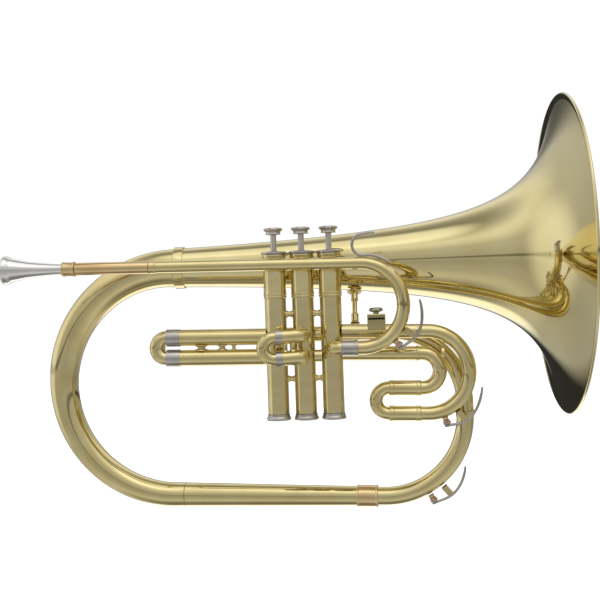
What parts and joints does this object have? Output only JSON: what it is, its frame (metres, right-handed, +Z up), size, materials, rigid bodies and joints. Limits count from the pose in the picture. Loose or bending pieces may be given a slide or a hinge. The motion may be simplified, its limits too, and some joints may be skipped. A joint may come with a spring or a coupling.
{
  "type": "marching mellophone",
  "caption": "Bell-front marching mellophone in brass with three bottom-sprung piston valves, pull slides, water keys and a removable mouthpiece.",
  "frame": {"origin": "on the middle valve's axis, at half the height of the valve casings, where the instrument is held", "axes": "+X along the bell's axis and out of the bell, +Z up along the valves to the finger buttons, -Y the player's right-hand side, where the lead pipe lies"},
  "size_m": [0.4821, 0.2794, 0.3559],
  "materials": {
    "brass_shell": "polished and clear lacquered yellow brass with fine drawing marks",
    "brass_slide": "polished and clear lacquered yellow brass tube",
    "brass_casing": "turned yellow brass, clear lacquered",
    "brass_fitting": "cast and filed brass, lacquered",
    "red_brass": "lacquered gold brass, slightly redder",
    "nickel_silver": "polished nickel silver, warm grey",
    "silver_plate": "silver plated, polished",
    "piston_steel": "honed and satin",
    "spring_steel": "drawn wire",
    "cork": "natural cork, matt"
  },
  "bodies": {
    "root": {"bell": "brass_shell", "bell_brace": "brass_fitting", "bell_tail_ferrule": "brass_shell", "bottom_cap_1": "nickel_silver", "bottom_cap_2": "nickel_silver", "bottom_cap_3": "nickel_silver", "bottom_ferrule": "red_brass", "bottom_tube": "brass_shell", "first_slide_brace": "brass_fitting", "first_slide_leg_lower": "brass_slide", "first_slide_leg_upper": "brass_slide", "inlet_elbow": "brass_slide", "left_bow": "brass_shell", "lyre_holder": "brass_fitting", "mouthpiece_receiver": "red_brass", "mouthpipe": "red_brass", "mouthpipe_brace": "brass_fitting", "outlet_tube": "brass_shell", "port_tube_1_2": "brass_slide", "port_tube_2_3": "brass_slide", "right_bow": "brass_shell", "second_slide_leg_lower": "brass_slide", "second_slide_leg_upper": "brass_slide", "third_slide_bow": "brass_slide", "third_slide_return_bend": "brass_slide", "top_cap_1": "nickel_silver", "top_cap_2": "nickel_silver", "top_cap_3": "nickel_silver", "tuning_ferrule": "nickel_silver", "valve_casing_1": "brass_casing", "valve_casing_2": "brass_casing", "valve_casing_3": "brass_casing", "valve_spring_1": "spring_steel", "valve_spring_2": "spring_steel", "valve_spring_3": "spring_steel", "water_key_saddle_2": "brass_fitting", "water_key_saddle_3": "brass_fitting", "water_key_spout_2": "brass_fitting", "water_key_spout_3": "brass_fitting"},
    "tuning_slide": {"tuning_slide_tube": "brass_slide", "finger_hook": "nickel_silver", "water_key_saddle_1": "brass_fitting", "water_key_spout_1": "brass_fitting"},
    "valve_1": {"piston_1": "piston_steel", "finger_button_1": "nickel_silver"},
    "valve_2": {"piston_2": "piston_steel", "finger_button_2": "nickel_silver"},
    "valve_3": {"piston_3": "piston_steel", "finger_button_3": "nickel_silver"},
    "first_slide": {"first_slide_crook": "brass_slide"},
    "second_slide": {"second_slide_crook": "brass_slide"},
    "third_slide": {"third_slide_crook": "brass_slide"},
    "mouthpiece": {"mouthpiece": "silver_plate"},
    "lyre_screw": {"lyre_screw": "nickel_silver"},
    "water_key_1": {"water_key_lever_1": "nickel_silver", "water_key_cork_1": "cork"},
    "water_key_2": {"water_key_lever_2": "nickel_silver", "water_key_cork_2": "cork"},
    "water_key_3": {"water_key_lever_3": "nickel_silver", "water_key_cork_3": "cork"}
  },
  "joints": [
    {"name": "valve_1_press", "type": "slide", "parent": "root", "child": "valve_1", "axis": [0, 0, -1], "range_m": [0, 0.0132], "stiffness_N_per_m": 120, "springref_m": -0.02, "deforming": ["valve_spring_1"]},
    {"name": "valve_2_press", "type": "slide", "parent": "root", "child": "valve_2", "axis": [0, 0, -1], "range_m": [0, 0.0132], "stiffness_N_per_m": 120, "springref_m": -0.02, "deforming": ["valve_spring_2"]},
    {"name": "valve_3_press", "type": "slide", "parent": "root", "child": "valve_3", "axis": [0, 0, -1], "range_m": [0, 0.0132], "stiffness_N_per_m": 120, "springref_m": -0.02, "deforming": ["valve_spring_3"]},
    {"name": "tuning_slide_pull", "type": "slide", "parent": "root", "child": "tuning_slide", "axis": [0.9999, 0, -0.0142], "range_m": [0, 0.0105]},
    {"name": "first_slide_pull", "type": "slide", "parent": "root", "child": "first_slide", "axis": [-0.9999, 0, 0.0164], "range_m": [0, 0.035]},
    {"name": "second_slide_pull", "type": "slide", "parent": "root", "child": "second_slide", "axis": [-0.9776, -0.2078, -0.0349], "range_m": [0, 0.006]},
    {"name": "third_slide_pull", "type": "slide", "parent": "root", "child": "third_slide", "axis": [-0.9996, 0, 0.0298], "range_m": [0, 0.018]},
    {"name": "mouthpiece_pull", "type": "slide", "parent": "root", "child": "mouthpiece", "axis": [-0.9999, 0, 0.0142], "range_m": [0, 0.02]},
    {"name": "lyre_screw_turn", "type": "hinge", "parent": "root", "child": "lyre_screw", "pos_m": [0.062, 0, 0.0159], "axis": [0, 0, 1], "continuous": true},
    {"name": "water_key_1_press", "type": "hinge", "parent": "tuning_slide", "child": "water_key_1", "pos_m": [0.09299, -0.018, -0.00202], "axis": [0, -1, 0], "range_deg": [0, 12], "stiffness_Nm_per_rad": 0.02, "springref_deg": -28.65},
    {"name": "water_key_2_press", "type": "hinge", "parent": "root", "child": "water_key_2", "pos_m": [0.13377, 0, -0.07552], "axis": [0, -1, 0], "range_deg": [0, 9], "stiffness_Nm_per_rad": 0.02, "springref_deg": -28.65},
    {"name": "water_key_3_press", "type": "hinge", "parent": "root", "child": "water_key_3", "pos_m": [0.12105, 0.0185, -0.14174], "axis": [0, -1, 0], "range_deg": [0, 5], "stiffness_Nm_per_rad": 0.02, "springref_deg": -28.65}
  ]
}
